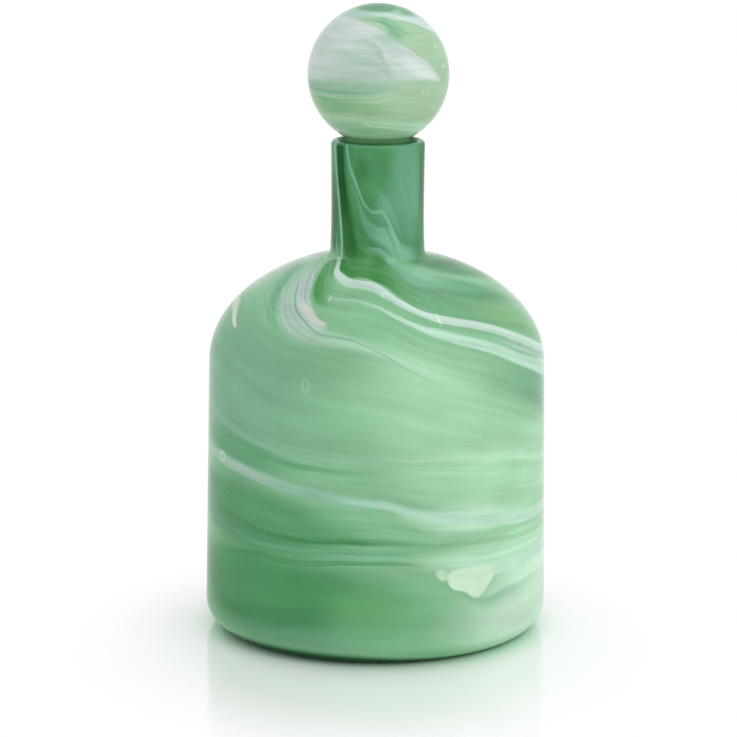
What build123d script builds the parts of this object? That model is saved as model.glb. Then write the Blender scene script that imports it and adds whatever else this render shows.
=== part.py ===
from build123d import *

import os
from math import acos, atan, degrees, sqrt

# A marble stopper bottle: a one-piece blown glass bottle and its hollow glass ball stopper.
# Millimetres, +Z up, with the origin at the middle of the foot, on the table.

# Bottle, outside
heel_side_radius = 90.4         # the body is widest down at the heel
shoulder_radius = 88.3          # and a little narrower where the shoulder begins
shoulder_height = 142.3         # level of the shoulder ellipse's centre
shoulder_rise = 58.7            # the ellipse's upright half axis
heel_rounding = 13.9            # between the side and the foot
neck_length = 60.0              # from the shoulder to the top of the lip
neck_root_radius = 24.8         # where the neck leaves the shoulder
neck_waist_radius = 24.2        # the neck is drawn in very slightly
neck_mouth_radius = 24.5        # and opens again below the lip
neck_waist_share = 0.4          # height of that waist along the neck
neck_root_rounding = 3.0        # concave, between the shoulder and the neck

# Bottle, foot and walls
foot_ring_width = 5.0           # flat ground ring that stands on the table
punt_rise = 6.0                 # height of the hollow under the foot
foot_edge_rounding = 1.5        # at the inner edge of the foot ring
base_wall = 7.0
body_wall = 4.2
shoulder_wall = 5.0
lip_wall = 4.5                  # the lip is a full round of this width
inner_heel_rounding = 9.0
inner_root_rounding = 6.0       # where the shoulder runs into the neck bore

# Ground joint between the neck and the stopper
seat_length = 30.0              # length of the ground taper in the neck
seat_taper_share = 0.05         # radius lost for each unit of depth, 1 in 10 on the diameter
seat_clearance = 0.1            # radial, between the ground faces

# Stopper
ball_radius = 36.75
ball_root_above_lip = 1.0       # where the ball's underside meets the waist
ball_wall = 3.6
waist_radius = 16.2             # short neck between the ball and the plug
stem_wall = 4.5                 # glass left round the stem's bore at the waist
plug_depth = 5.6                # lip down to the top of the ground plug
plug_length = 25.5
plug_shoulder_rise = 2.4        # slope from the waist out to the plug
ball_root_rounding = 3.0        # concave, under the ball
plug_shoulder_rounding = 1.0
plug_end_rounding = 2.0         # fire-polished end of the stem
stem_mouth_rounding = 4.0       # where the stem's bore opens into the ball

match_tolerance = 0.01          # for finding an edge by its place


def ring_edge(piece, radius, height):
    """The circular edge of a turned piece with this radius, at this height."""
    rings = piece.edges().filter_by(GeomType.CIRCLE)
    found = [
        ring for ring in rings
        if abs(ring.radius - radius) < match_tolerance
        and abs(ring.arc_center.Z - height) < match_tolerance
    ]
    return found[0]


def ellipse_rise(half_width, half_height, radius):
    """Rise of an elliptical shoulder above its centre at this radius."""
    return half_height * sqrt(1 - (radius / half_width) ** 2)


# Places worked out from the sizes above
side_taper_share = (heel_side_radius - shoulder_radius) / (shoulder_height - heel_rounding)
table_side_radius = heel_side_radius + side_taper_share * heel_rounding
foot_outer_radius = heel_side_radius - heel_rounding
foot_inner_radius = foot_outer_radius - foot_ring_width

inner_shoulder_radius = shoulder_radius - body_wall
inner_shoulder_rise = shoulder_rise - shoulder_wall
inner_base_radius = table_side_radius - body_wall - side_taper_share * base_wall

neck_root_height = shoulder_height + ellipse_rise(shoulder_radius, shoulder_rise, neck_root_radius)
bottle_height = neck_root_height + neck_length
lip_radius = lip_wall / 2
lip_level = bottle_height - lip_radius
neck_waist_height = neck_root_height + neck_waist_share * (lip_level - neck_root_height)

seat_mouth_radius = neck_mouth_radius - lip_wall
seat_bottom = lip_level - seat_length
bore_radius = seat_mouth_radius - seat_taper_share * seat_length
bore_bottom = shoulder_height + ellipse_rise(inner_shoulder_radius, inner_shoulder_rise, bore_radius)

# The straight side runs smoothly into the shoulder a little way up the ellipse
outer_side_angle = degrees(atan(side_taper_share * shoulder_rise / shoulder_radius))
inner_side_angle = degrees(atan(side_taper_share * inner_shoulder_rise / inner_shoulder_radius))
outer_neck_angle = degrees(acos(neck_root_radius / shoulder_radius))
inner_neck_angle = degrees(acos(bore_radius / inner_shoulder_radius))

# Bottle: one outline from the axis, up the inside, over the lip and down the outside
with BuildPart() as bottle:
    with BuildSketch(Plane.XZ):
        with BuildLine():
            floor = TangentArc((0, punt_rise + base_wall), (inner_base_radius, base_wall), tangent=(1, 0))
            inner_shoulder = EllipticalCenterArc(
                (0, shoulder_height), inner_shoulder_radius, inner_shoulder_rise,
                start_angle=inner_side_angle, arc_size=inner_neck_angle - inner_side_angle,
            )
            Line(floor @ 1, inner_shoulder @ 0)
            bore = Line(inner_shoulder @ 1, (bore_radius, seat_bottom))
            seat = Line(bore @ 1, (seat_mouth_radius, lip_level))
            lip = ThreePointArc(
                seat @ 1, (seat_mouth_radius + lip_radius, bottle_height), (neck_mouth_radius, lip_level)
            )
            outer_shoulder = EllipticalCenterArc(
                (0, shoulder_height), shoulder_radius, shoulder_rise,
                start_angle=outer_side_angle, arc_size=outer_neck_angle - outer_side_angle,
            )
            ThreePointArc(lip @ 1, (neck_waist_radius, neck_waist_height), outer_shoulder @ 1)
            side = Line(outer_shoulder @ 0, (table_side_radius, 0))
            foot = Line(side @ 1, (foot_inner_radius, 0))
            punt = TangentArc((0, punt_rise), foot @ 1, tangent=(1, 0))
            Line(punt @ 0, floor @ 0)
        make_face()
    revolve(axis=Axis.Z)
    fillet(ring_edge(bottle, table_side_radius, 0), heel_rounding)
    fillet(ring_edge(bottle, foot_inner_radius, 0), foot_edge_rounding)
    fillet(ring_edge(bottle, inner_base_radius, base_wall), inner_heel_rounding)
    fillet(ring_edge(bottle, neck_root_radius, neck_root_height), neck_root_rounding)
    fillet(ring_edge(bottle, bore_radius, bore_bottom), inner_root_rounding)


def plug_radius(height):
    """Radius of the ground plug, which follows the seat at its clearance."""
    return seat_mouth_radius - seat_taper_share * (lip_level - height) - seat_clearance


ball_root_height = bottle_height + ball_root_above_lip
ball_centre = ball_root_height + sqrt(ball_radius ** 2 - waist_radius ** 2)
ball_inner_radius = ball_radius - ball_wall
stem_bore_radius = waist_radius - stem_wall
stem_mouth_height = ball_centre - sqrt(ball_inner_radius ** 2 - stem_bore_radius ** 2)
plug_top = bottle_height - plug_depth
plug_bottom = plug_top - plug_length
waist_bottom = plug_top + plug_shoulder_rise
ball_root_angle = degrees(acos(waist_radius / ball_radius))
stem_mouth_angle = degrees(acos(stem_bore_radius / ball_inner_radius))

# Stopper: a hollow ball on a short waist, with a ground plug that is open below
with BuildPart() as stopper:
    with BuildSketch(Plane.XZ):
        with BuildLine():
            ball = CenterArc((0, ball_centre), ball_radius, 90, -90 - ball_root_angle)
            waist = Line(ball @ 1, (waist_radius, waist_bottom))
            shoulder = Line(waist @ 1, (plug_radius(plug_top), plug_top))
            plug = Line(shoulder @ 1, (plug_radius(plug_bottom), plug_bottom))
            stem_end = Line(plug @ 1, (stem_bore_radius, plug_bottom))
            stem_bore = Line(stem_end @ 1, (stem_bore_radius, stem_mouth_height))
            hollow = CenterArc((0, ball_centre), ball_inner_radius, -stem_mouth_angle, 90 + stem_mouth_angle)
            Line(hollow @ 1, ball @ 0)
        make_face()
    revolve(axis=Axis.Z)
    fillet(ring_edge(stopper, waist_radius, ball_root_height), ball_root_rounding)
    fillet(ring_edge(stopper, waist_radius, waist_bottom), plug_shoulder_rounding)
    fillet(ring_edge(stopper, plug_radius(plug_top), plug_top), plug_shoulder_rounding)
    fillet(ring_edge(stopper, plug_radius(plug_bottom), plug_bottom), plug_end_rounding)
    fillet(ring_edge(stopper, stem_bore_radius, plug_bottom), plug_end_rounding)
    fillet(ring_edge(stopper, stem_bore_radius, stem_mouth_height), stem_mouth_rounding)

os.makedirs("parts", exist_ok=True)
bottle.part.label = "bottle"
export_step(bottle.part, "parts/bottle.step")
stopper.part.label = "stopper"
export_step(stopper.part, "parts/stopper.step")
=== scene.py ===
import math

import bpy
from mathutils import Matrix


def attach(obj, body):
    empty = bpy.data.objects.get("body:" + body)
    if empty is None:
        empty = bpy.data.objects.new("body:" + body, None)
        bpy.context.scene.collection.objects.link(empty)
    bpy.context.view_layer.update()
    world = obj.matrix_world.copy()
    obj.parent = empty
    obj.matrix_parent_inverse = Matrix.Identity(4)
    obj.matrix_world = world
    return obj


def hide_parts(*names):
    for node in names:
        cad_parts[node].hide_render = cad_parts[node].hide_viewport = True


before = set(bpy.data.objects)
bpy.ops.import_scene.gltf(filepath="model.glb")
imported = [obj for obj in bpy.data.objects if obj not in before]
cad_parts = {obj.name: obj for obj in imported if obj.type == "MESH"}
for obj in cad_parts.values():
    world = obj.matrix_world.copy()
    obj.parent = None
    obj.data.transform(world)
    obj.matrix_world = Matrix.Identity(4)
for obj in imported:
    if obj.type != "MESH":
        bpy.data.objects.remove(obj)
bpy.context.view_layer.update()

# Camera, where the photographer stood
camera = {
    "lens": 148.1,
    "sensor": 36,             # millimetres, as the lens
    "distance": 1.6,
    "elevation": 12.12,       # degrees above the horizontal
    "aimHeight": 0.137,
    "sideways": -0.00427,     # the bottle stands a little right of the middle
    "roll": 0.33,             # degrees, the bottle's top leans right
    "clip": (0.05, 50),
}


def placeCamera():
    tilt = math.radians(camera["elevation"])
    back = camera["distance"] * math.cos(tilt)
    height = camera["aimHeight"] + camera["distance"] * math.sin(tilt)
    bpy.ops.object.camera_add(location=(camera["sideways"], -back, height))
    made = bpy.context.object
    made.name = "photographer"
    made.rotation_mode = "ZYX"
    made.rotation_euler = (math.pi / 2 - tilt, 0, math.radians(camera["roll"]))
    made.data.lens = camera["lens"]
    made.data.sensor_width = camera["sensor"]
    made.data.clip_start, made.data.clip_end = camera["clip"]
    bpy.context.scene.camera = made


placeCamera()
print("camera placed")


# Glass colours, as red, green and blue from 0 to 255
glassColours = {
    "milk": (212, 228, 220),
    "pearl": (200, 221, 211),
    "veil": (199, 213, 206),
    "rill": (172, 201, 194),
    "rose": (214, 214, 213),
    "mist": (150, 186, 164),
    "crown": (112, 160, 126),
    "clover": (115, 167, 129),
    "lilac": (180, 196, 194),
    "haze": (172, 196, 184),
    "cream": (203, 209, 192),
    "butter": (210, 218, 188),
    "blush": (198, 202, 182),
    "ash": (168, 194, 176),
    "frost": (206, 232, 206),
    "paleMint": (186, 220, 200),
    "mint": (168, 215, 176),
    "dew": (186, 225, 192),
    "snow": (203, 233, 208),
    "lime": (168, 200, 167),
    "spring": (154, 205, 160),
    "jade": (136, 188, 148),
    "sage": (126, 176, 144),
    "sea": (112, 168, 138),
    "teal": (96, 156, 128),
    "aqua": (138, 190, 164),
    "leaf": (113, 177, 122),
    "moss": (132, 178, 126),
    "grass": (94, 154, 110),
    "fern": (84, 152, 88),
    "bottle": (80, 144, 94),
    "forest": (74, 138, 78),
    "pine": (58, 118, 66),
    "smoke": (72, 116, 86),
    "deep": (36, 84, 48),
    "shade": (112, 152, 132),
}

roomGloss = 0.012    # white room that the glass mirrors on top of its own colour
darkest = 0.004      # no glass is blacker than this
perMetre = 1000      # the glass is measured in millimetres, and Blender in metres


# Written colour as light, by the usual sRGB curve
def tint(name):
    linear = []
    for value in glassColours[name]:
        share = value / 255
        shown = share / 12.92 if share <= 0.04045 else ((share + 0.055) / 1.055) ** 2.4
        linear.append(max(shown - roomGloss, darkest))
    return (*linear, 1.0)


# Small helpers for the node trees. A value is a number, a colour or the output of another node.
def plug(tree, value, socket):
    if isinstance(value, bpy.types.NodeSocket):
        tree.links.new(value, socket)
    else:
        socket.default_value = value


# A shader node with its settings, and with values on its first sockets
def addNode(tree, kind, values=(), **settings):
    node = tree.nodes.new("ShaderNode" + kind)
    for name, setting in settings.items():
        setattr(node, name, setting)
    for socket, value in zip(node.inputs, values):
        plug(tree, value, socket)
    return node


def sums(tree, operation, *values):
    return addNode(tree, "Math", values, operation=operation).outputs[0]


def ease(tree, value, start, end, low=0.0, high=1.0, kind="SMOOTHSTEP"):
    return addNode(tree, "MapRange", (value, start, end, low, high), interpolation_type=kind).outputs[0]


def blendColour(tree, share, below, above):
    node = addNode(tree, "Mix", (share,), data_type="RGBA")
    plug(tree, below, node.inputs[6])
    plug(tree, above, node.inputs[7])
    return node.outputs[2]


def cloud(tree, place, scale, detail=2.0):
    node = addNode(tree, "TexNoise", (place,))
    node.inputs["Scale"].default_value = scale
    node.inputs["Detail"].default_value = detail
    return node


# A noise from 0 to 1 moves a value either way, by up to half its reach
def sway(tree, noise, reach, value):
    return sums(tree, "MULTIPLY_ADD", sums(tree, "SUBTRACT", noise, 0.5), reach, value)


def lengthOf(tree, vector):
    return addNode(tree, "VectorMath", (vector,), operation="LENGTH").outputs["Value"]


# Three curves over one share from 0 to 1, each read back as a value from low to high
def readCurves(tree, share, lines, lows, highs):
    packed = addNode(tree, "CombineColor", (share, share, share))
    node = addNode(tree, "RGBCurve")
    tree.links.new(packed.outputs[0], node.inputs["Color"])
    for curve, points in zip(node.mapping.curves, lines):
        curve.points[0].location = points[0]
        curve.points[1].location = points[-1]
        for point in points[1:-1]:
            curve.points.new(*point)
        for point in curve.points:
            point.handle_type = "AUTO_CLAMPED"
    node.mapping.update()
    parts = addNode(tree, "SeparateColor", (node.outputs["Color"],))
    return [
        sums(tree, "MULTIPLY_ADD", part, high - low, low)
        for part, low, high in zip(parts.outputs, lows, highs)
    ]


def newGroup(name, inputs):
    group = bpy.data.node_groups.new(name, "ShaderNodeTree")
    for label in inputs:
        group.interface.new_socket(label, in_out="INPUT", socket_type="NodeSocketFloat")
    group.interface.new_socket("Mask", in_out="OUTPUT", socket_type="NodeSocketFloat")
    given = group.nodes.new("NodeGroupInput").outputs
    result = group.nodes.new("NodeGroupOutput").inputs[0]
    return group, given, result


# Fine lines along a trail come from two waves across it, and between them the glass below shows
trailLines = {
    "wide": 2.1,
    "narrow": 5.3,
    "narrowShare": 0.5,
    "gapFrom": -1.0,
    "gapTo": 0.3,
    "seedStep": 7.3,     # from one trail to the next, so that no two have the same lines
}
curveMargin = 1.0        # room that a curve keeps above and below its values


# A trail of glass, as seen across it: solid in the middle, feathered at either side, drawn out in lines
def makeTrailGroup():
    group, given, result = newGroup(
        "glassTrail",
        ("Offset", "Width", "Strength", "Drift", "Soft above", "Soft below", "Lines", "Line count", "Seed"),
    )
    side = sums(group, "DIVIDE", given["Offset"], given["Width"])
    aboveEdge = sums(group, "SUBTRACT", 1.0, given["Soft above"])
    belowEdge = sums(group, "SUBTRACT", 1.0, given["Soft below"])
    above = ease(group, side, aboveEdge, 1.0, 1.0, 0.0)
    below = ease(group, sums(group, "MULTIPLY", side, -1.0), belowEdge, 1.0, 1.0, 0.0)
    start = sums(group, "ADD", given["Seed"], given["Drift"])
    spread = sums(group, "MULTIPLY_ADD", side, given["Line count"], start)
    wide = sums(group, "SINE", sums(group, "MULTIPLY", spread, trailLines["wide"]))
    narrow = sums(group, "SINE", sums(group, "MULTIPLY_ADD", spread, trailLines["narrow"], given["Drift"]))
    lines = sums(group, "MULTIPLY_ADD", narrow, trailLines["narrowShare"], wide)
    gap = sums(group, "SUBTRACT", 1.0, given["Lines"])
    shown = ease(group, lines, trailLines["gapFrom"], trailLines["gapTo"], gap, 1.0)
    body = sums(group, "MULTIPLY", above, below)
    mask = sums(group, "MULTIPLY", body, sums(group, "MULTIPLY", shown, given["Strength"]))
    group.links.new(mask, result)
    return group


# A soft patch of colour, an ellipse that leans with the flow
def makePatchGroup():
    group, given, result = newGroup(
        "glassPatch",
        ("Around", "Level", "At angle", "At level", "Reach", "Rise", "Slope", "Core", "Strength"),
    )
    turn = sums(group, "WRAP", sums(group, "SUBTRACT", given["Around"], given["At angle"]), 180.0, -180.0)
    above = sums(group, "SUBTRACT", given["Level"], given["At level"])
    lift = sums(group, "SUBTRACT", above, sums(group, "MULTIPLY", turn, given["Slope"]))
    squares = [
        sums(group, "POWER", sums(group, "DIVIDE", sums(group, "ABSOLUTE", part), given[size]), 2.0)
        for part, size in ((turn, "Reach"), (lift, "Rise"))
    ]
    away = sums(group, "SQRT", sums(group, "ADD", *squares))
    mask = sums(group, "MULTIPLY", ease(group, away, given["Core"], 1.0, 1.0, 0.0), given["Strength"])
    group.links.new(mask, result)
    return group


trailGroup = makeTrailGroup()
patchGroup = makePatchGroup()


def useGroup(tree, group, values):
    return addNode(tree, "Group", values, node_tree=group).outputs[0]


def layPatches(tree, colour, around, level, patches):
    for glass, *patch in patches:
        mask = useGroup(tree, patchGroup, (around, level, *patch))
        colour = blendColour(tree, mask, colour, tint(glass))
    return colour


# Small bubbles and specks, painted highlights, and bands of painted light and shade, all of one glass
# together
def laySeedsAndPaintedLight(tree, colour, around, level, seedsAndPaintedLight):
    for glass, specks in seedsAndPaintedLight:
        mask = useGroup(tree, patchGroup, (around, level, *specks[0]))
        for speck in specks[1:]:
            mask = sums(tree, "MAXIMUM", mask, useGroup(tree, patchGroup, (around, level, *speck)))
        colour = blendColour(tree, mask, colour, tint(glass))
    return colour


# A trail follows three curves along its run: where its middle is, half its width, and its strength
def layTrails(tree, colour, around, level, drift, trails):
    for seed, trail in enumerate(trails):
        glass, runs, soft, lines, knots = trail
        start, end = knots[0][0], knots[-1][0]
        if runs == "around":
            # one whole turn, which begins just before the trail does
            here, across = sums(tree, "WRAP", around, start + 359.9, start - 0.1), level
        else:
            here, across = level, around
        share = ease(tree, here, start, end, kind="LINEAR")
        lows = [min(knot[part] for knot in knots) - curveMargin for part in (1, 2)] + [0.0]
        highs = [max(knot[part] for knot in knots) + curveMargin for part in (1, 2)] + [1.0]
        curves = [
            [((knot[0] - start) / (end - start), (knot[part] - low) / (high - low)) for knot in knots]
            for part, low, high in zip((1, 2, 3), lows, highs)
        ]
        centre, width, strength = readCurves(tree, share, curves, lows, highs)
        offset = sums(tree, "SUBTRACT", across, centre)
        if runs == "up":
            offset = sums(tree, "WRAP", offset, 180.0, -180.0)
        values = (offset, width, strength, drift, *soft, *lines, trailLines["seedStep"] * seed)
        colour = blendColour(tree, useGroup(tree, trailGroup, values), colour, tint(glass))
    return colour


# Level along the flow: it rises by one from each guide line to the next, and closes round the back
def flowLevel(tree, around, level, guides):
    angles, lines = guides["angles"], guides["levels"]
    low = min(min(line) for line in lines) - curveMargin
    high = max(max(line) for line in lines) + curveMargin
    share = ease(tree, around, -180.0, 180.0, kind="LINEAR")
    heights = []
    for first in range(0, len(lines), 3):
        three = [
            [((angle + 180) / 360, (value - low) / (high - low)) for angle, value in zip(angles, line)]
            for line in lines[first:first + 3]
        ]
        heights += readCurves(tree, share, three, [low] * 3, [high] * 3)[:len(three)]
    total = ease(tree, level, heights[0], heights[1], kind="LINEAR")
    for lower, upper in zip(heights[1:], heights[2:]):
        total = sums(tree, "ADD", total, ease(tree, level, lower, upper, kind="LINEAR"))
    return total


# Bottle, in millimetres and degrees. Angles are counted from the front, to the right,
# and levels are height less radius, which follows the shoulder up to the neck.
bottle = {
    "segments": 96,
    # foot and side, as radius and height
    "puntRise": 6.0, "puntStops": (3, 8, 16, 26, 38, 50, 60, 67, 70), "footInnerRadius": 71.5,
    "footRing": [(71.2, 0.06), (72.2, 0.0), (74.5, 0.0)], "heelRadius": 90.4, "heelRounding": 13.9,
    "sideEnds": [(90.3, 20), (88.45, 134)],
    # shoulder, neck and lip
    "shoulderRadius": 88.3, "shoulderHeight": 142.3, "shoulderRise": 58.7,
    "rootCentre": (27.8, 201.1), "rootRounding": 3.0,
    "neckRootRadius": 24.8, "neckWaistRadius": 24.2, "neckMouthRadius": 24.5,
    "neckRootHeight": 198.637, "neckWaistHeight": 221.74, "lipLevel": 256.387, "lipRadius": 2.25,
    # inside, from the seat down to the floor
    "seatMouthRadius": 20.0, "seatBottom": 226.387, "boreRadius": 18.5, "boreBottom": 202.0,
    "innerRootHeight": 199.9, "innerRootRounding": 6.0,
    "innerShoulderRadius": 84.1, "innerShoulderRise": 53.7, "innerSideEnds": [(84.3, 134), (86.15, 20)],
    "innerHeelCentre": (77.3, 17.3), "innerHeelRounding": 9.0,
    "innerBaseRadius": 86.31, "floorRise": 13.0, "floorEdge": 7.0, "floorStops": (3, 8, 16, 28, 42, 56, 68),
    # glass: the seat in the neck is ground, where it is within one radius and above one height
    "roughness": 0.13, "frostedRoughness": 0.5, "specular": 0.07, "baseGlass": "jade", "frostedGlass": "mint",
    "seatWithin": (20.1, 20.5), "seatAbove": (226.0, 226.8),
    "heelTurn": (14.0, 30.0),          # heights between which the level turns under the foot
    "levelSway": (40.0, 2.0), "drift": (9.0, 9.0),      # scale of the noise, and its reach
    "drawn": {"along": 1.1, "lines": [(2.4, 0.46), (8.0, 0.34)], "mottle": (45.0, 4.0, 0.2)},
    "patches": [
        # glass, angle, level, reach, rise, slope, core, strength
        ("sage", -58, 55, 56, 66, -0.3, 0.3, 0.9),
        ("mint", 21, 50, 42, 52, -0.4, 0.15, 0.82),
        ("mint", 56, 0, 66, 52, -0.25, 0.3, 0.95),
        ("sea", 72, 45, 26, 15, -0.6, 0.1, 0.8),
        ("ash", -94, 150, 27, 44, -0.3, 0.1, 0.8),
        ("blush", -110, 130, 44, 22, -0.25, 0.0, 0.6),
        ("ash", -100, -25, 26, 60, 0.0, 0.0, 0.5),
        ("grass", -56, 17, 40, 11, -0.15, 0.3, 0.7),
        ("grass", -52, -16, 58, 22, -0.1, 0.5, 0.95),
        ("bottle", -44, -56, 64, 34, 0.0, 0.4, 0.95),
        ("bottle", -16, -52, 32, 18, 0.0, 0.3, 0.6),
        ("leaf", 2, -62, 24, 24, 0.0, 0.3, 0.6),
        ("sea", -30, -77, 46, 9, 0.0, 0.2, 0.45),
        ("snow", 76, -68, 60, 44, 0.1, 0.45, 0.95),
        ("dew", 46, -35, 40, 12, 0.0, 0.4, 0.9),
        ("clover", 40, 116, 46, 30, -0.7, 0.4, 0.95),
        ("moss", 62, 98, 26, 20, -0.7, 0.2, 0.6),
        ("ash", 94, 96, 22, 26, -0.5, 0.2, 0.6),
        ("grass", 88, 152, 60, 27, -0.4, 0.6, 0.95),
        ("pine", 86, 156, 84, 12, -0.3, 0.0, 0.5),
        ("grass", 56, 126, 30, 17, -0.7, 0.3, 0.8),
        ("bottle", 0, 216, 400, 42, -0.02, 0.8, 0.95),
        ("grass", -176, 62, 66, 40, -0.4, 0.2, 0.8),
        ("bottle", 158, -48, 64, 30, 0.1, 0.4, 0.85),
        ("mint", -142, 16, 56, 34, -0.2, 0.1, 0.85),
        ("forest", -140, 158, 46, 30, 0.3, 0.3, 0.7),
        ("sea", 40, 211, 34, 42, -0.2, 0.3, 0.9),
        ("sea", 13, 200, 24, 16, -0.2, 0.2, 0.85),
        ("pine", -20, 221, 13, 11, 0.0, 0.2, 0.5),
        ("deep", 80, 222, 20, 60, 0.0, 0.2, 0.8),
    ],
    "trails": [
        # glass, way it runs, softness above and below, strength of its lines and their count,
        # knots of angle, level, half width and strength, or of level and angle first for one that runs up
        ("sea", "around", (0.7, 0.7), (0.4, 3),
         [(-84, 158, 6, 0), (-74, 150, 10, 0.6), (-66, 142, 12, 0.75), (-60, 131, 12, 0.8),
          (-54, 116, 9, 0.7), (-48, 103, 8, 0.6), (-42, 92, 6, 0.3), (-34, 82, 4, 0)]),
        ("forest", "around", (0.2, 0.1), (0.2, 2),
         [(-48, 174, 2, 0), (-40, 180, 12, 1), (-30, 172, 17, 1), (-20, 165, 17, 0.9), (-10, 164.5, 15, 0.8),
          (0, 161.5, 17.5, 0.95), (6, 158, 20, 0.85), (11, 151, 23, 0.6), (16, 140, 22, 0.3),
          (23, 127, 14, 0)]),
        ("aqua", "around", (0.6, 0.5), (0.35, 3),
         [(7, 179, 2, 0), (12, 175, 3, 0.8), (16, 167, 7.5, 0.9), (20, 156, 14, 0.9), (27, 147.5, 15, 0.85),
          (36, 142, 11, 0.5), (48, 131, 8, 0.3), (64, 116, 6, 0)]),
        ("aqua", "around", (0.8, 0.8), (0.35, 2),
         [(12, 184, 2, 0), (20, 175, 5, 0.4), (30, 160, 6, 0.5), (40, 153, 5, 0.5), (50, 147, 4.5, 0.5),
          (60, 139, 4.5, 0.45), (70, 131, 4.5, 0.4), (80, 124, 4.5, 0.4), (100, 112, 5, 0.4),
          (150, 120, 5, 0)]),
        ("bottle", "around", (0.2, 0.4), (0.3, 4),
         [(-58, 169.5, 2, 0), (-54, 167.5, 4, 0.9), (-50, 164.5, 7, 1), (-44, 158.5, 9, 1),
          (-40, 152.5, 11.5, 0.95), (-36, 144.5, 14, 0.85), (-32, 136.5, 16, 0.6), (-28, 130, 17, 0.35),
          (-22, 123, 15, 0)]),
        ("fern", "around", (0.5, 0.4), (0.3, 3),
         [(-47, 160, 3, 0), (-42, 152, 5.5, 0.8), (-38, 143.5, 7.5, 1), (-34, 135, 9, 1),
          (-30, 127.5, 8.5, 0.85), (-26, 122, 5, 0.5), (-20, 115, 3, 0)]),
        ("moss", "around", (0.5, 0.5), (0.0, 3),
         [(-39, 151, 0.7, 0), (-34, 143, 0.9, 0.8), (-30, 136, 0.9, 0.9), (-26, 129, 0.9, 0.8),
          (-22, 123, 0.8, 0)]),
        ("haze", "around", (0.2, 0.6), (0.5, 6),
         [(-72, 150, 6, 0), (-64, 146, 9, 0.25), (-58, 141, 12, 0.5), (-50, 126, 14.5, 0.9),
          (-45, 116, 14.5, 1), (-40, 106, 14, 1), (-35, 98.5, 13, 1), (-30, 94, 11, 0.95),
          (-24, 90, 8.6, 0.85), (-15, 87.5, 7, 0.7), (-5, 83.5, 6, 0.6), (5, 76, 5.5, 0.5),
          (15, 67, 5, 0.35), (30, 56, 4, 0)]),
        ("mint", "around", (0.7, 0.7), (0.3, 3),
         [(-24, 88, 2, 0), (-16, 86.5, 4, 0.5), (-8, 86, 4.5, 0.7), (0, 80, 4, 0.5), (12, 70, 4, 0.5),
          (22, 61.5, 3, 0.4), (34, 53, 2, 0)]),
        ("lilac", "around", (0.18, 0.2), (0.3, 4),
         [(-110, 164, 8, 0), (-84, 162, 8, 0.25), (-70, 160, 8, 0.1), (-60, 157, 8, 0.3),
          (-52, 149, 9.5, 0.7), (-46, 139, 10, 1), (-40, 128.5, 11, 1), (-35, 116.9, 8.9, 1),
          (-31, 110.2, 7.6, 1), (-27, 104.2, 6, 1), (-23, 99.2, 4, 0.9), (-19, 98.5, 1.6, 0)]),
        ("shade", "around", (0.5, 0.5), (0.2, 2),
         [(-62, 160, 0.6, 0), (-54, 153.5, 0.7, 0.4), (-48, 145, 0.8, 0.6), (-43, 136.5, 0.8, 0.6),
          (-38, 126, 0.8, 0.6), (-34, 118, 0.7, 0.5), (-29, 110, 0.6, 0)]),
        ("cream", "around", (0.5, 0.45), (0.2, 3),
         [(-40, 122, 2, 0), (-36, 117, 3.8, 0.6), (-32, 111.8, 5, 0.95), (-28, 106.4, 5, 1),
          (-25, 103, 3.8, 1), (-22.5, 101.2, 2.4, 1), (-20, 100.8, 0.8, 0)]),
        ("shade", "around", (0.8, 0.9), (0.0, 2),
         [(-54, 144, 0.8, 0), (-50, 137, 1.3, 0.4), (-46, 130, 1.5, 0.7), (-42, 121, 1.6, 0.7),
          (-38, 113, 1.5, 0.7), (-34, 106.5, 1.5, 0.65), (-30, 101.5, 1.4, 0.6), (-26, 96, 1.4, 0.6),
          (-22, 92.2, 1.3, 0.55), (-16, 91, 1.3, 0.5), (-10, 89.3, 1.3, 0.5), (-5, 85.5, 1.3, 0.45),
          (0, 81, 1.3, 0.4), (5, 75, 1.3, 0.35), (12, 66, 1.3, 0.2), (22, 57, 1, 0)]),
        ("pearl", "around", (0.25, 0.6), (0.35, 6),
         [(-53, 173.5, 1, 0), (-49, 172.5, 1.6, 0.9), (-45, 169.7, 2.2, 1), (-40, 165.8, 2.8, 1),
          (-35, 159.8, 3.6, 1), (-30, 153.2, 4.6, 1), (-25, 148.8, 5.6, 1), (-20, 144.6, 6.2, 1),
          (-15, 142.2, 6, 1), (-10, 141.5, 6, 1), (-5, 140.5, 6.8, 1), (0, 137, 7.2, 1), (5, 130.8, 6.6, 1),
          (10, 122.8, 5.4, 1), (15, 115.8, 4.4, 1), (20, 109.8, 4, 1), (25, 105.2, 4.8, 0.95),
          (30, 102.2, 4.6, 0.9), (40, 96.7, 4.6, 0.9), (50, 89.2, 4.8, 0.9), (60, 79.7, 5, 0.9),
          (70, 71.2, 4.6, 0.9), (80, 65, 3.6, 0.9), (100, 58, 3.6, 0.9), (130, 62, 4.6, 0.85),
          (160, 80, 5, 0.8), (190, 106, 5.4, 0.75), (220, 132, 5, 0.7), (250, 152, 4, 0.6),
          (278, 166, 3, 0)]),
        ("milk", "around", (0.5, 0.8), (0.6, 5),
         [(-32, 156, 1, 0), (-26, 150.5, 2.2, 0.4), (-20, 146.8, 3, 0.45), (-12, 144.2, 3, 0.5),
          (-4, 143, 3.2, 0.6), (2, 136.8, 3.6, 0.7), (8, 127.5, 3, 0.6), (14, 119, 2.6, 0.6),
          (20, 111.6, 2.2, 0.5), (28, 105.4, 2.2, 0.5), (40, 98.4, 2, 0.4), (55, 86.6, 2, 0.3),
          (75, 68, 2, 0)]),
        ("lilac", "around", (0.5, 0.5), (0.0, 3),
         [(-30, 150, 0.5, 0), (-22, 143.8, 0.8, 0.6), (-12, 139.8, 0.8, 0.7), (-4, 138.2, 0.9, 0.8),
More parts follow.
